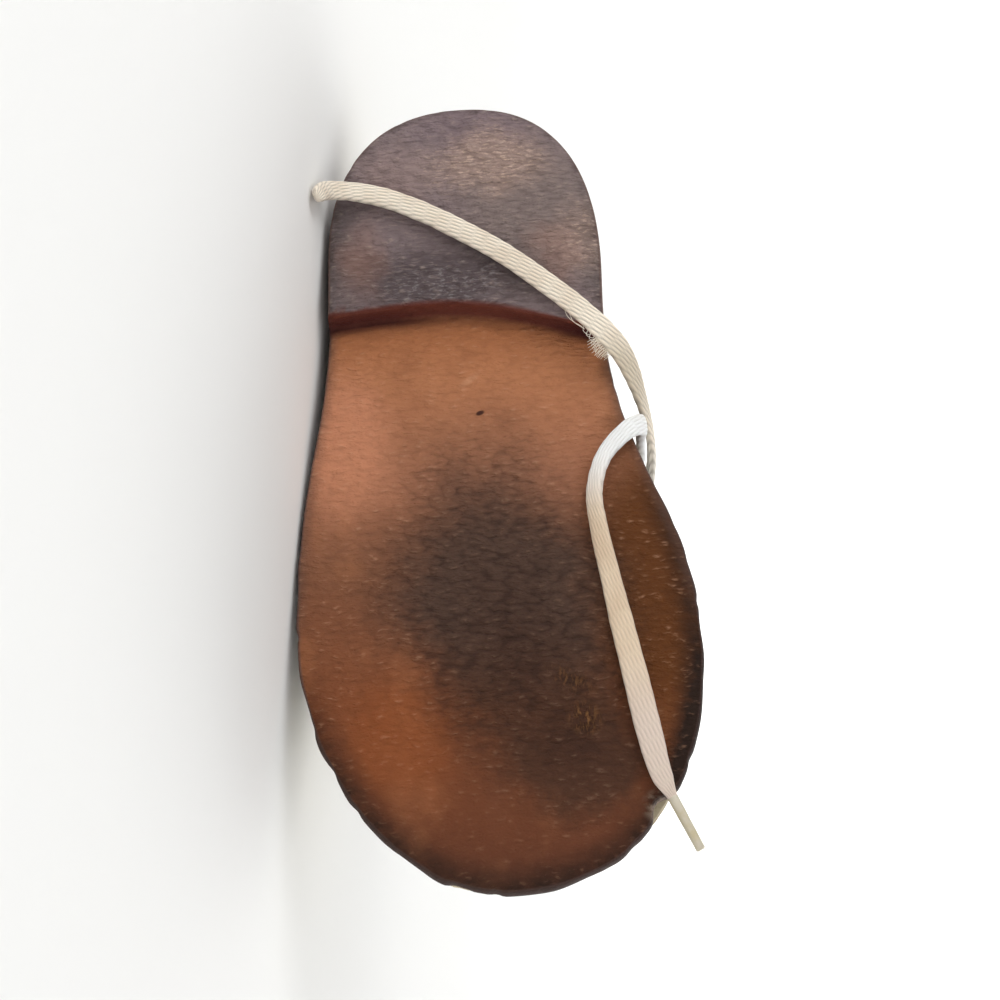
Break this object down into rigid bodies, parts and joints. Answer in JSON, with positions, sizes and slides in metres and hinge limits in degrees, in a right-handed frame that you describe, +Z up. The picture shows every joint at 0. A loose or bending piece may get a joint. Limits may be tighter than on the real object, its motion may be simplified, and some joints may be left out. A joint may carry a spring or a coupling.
{
  "type": "saddle shoe",
  "caption": "Toddler's lace-up saddle shoe for the left foot, lying on its outer side: moulded gum-rubber sole with heel, white leather upper, dark saddle and untied laces.",
  "frame": {"origin": "middle of the shoe's box, at the floor that it lies on; the free lace ends aren't counted", "axes": "+X from heel to toe, +Z up, sole facing -Y, outer side of the foot down"},
  "size_m": [0.1286, 0.0768, 0.0639],
  "materials": {
    "gum_rubber": "worn satin, stained",
    "welt_leather": "matt, stitched",
    "insole_board": "matt",
    "white_leather": "smooth semi-gloss",
    "navy_leather": "smooth semi-gloss",
    "cotton_lace": "braided, matt",
    "clear_plastic": "glossy"
  },
  "bodies": {
    "root": {"outsole": "gum_rubber", "welt": "welt_leather", "insole": "insole_board", "upper": "white_leather", "saddle_lateral": "navy_leather", "saddle_medial": "navy_leather", "tongue": "white_leather", "lace_bar_1": "cotton_lace", "lace_bar_2": "cotton_lace", "lace_bar_3": "cotton_lace", "lace_end_heel": "cotton_lace", "lace_end_toe": "cotton_lace", "lace_aglet": "clear_plastic"}
  },
  "joints": []
}
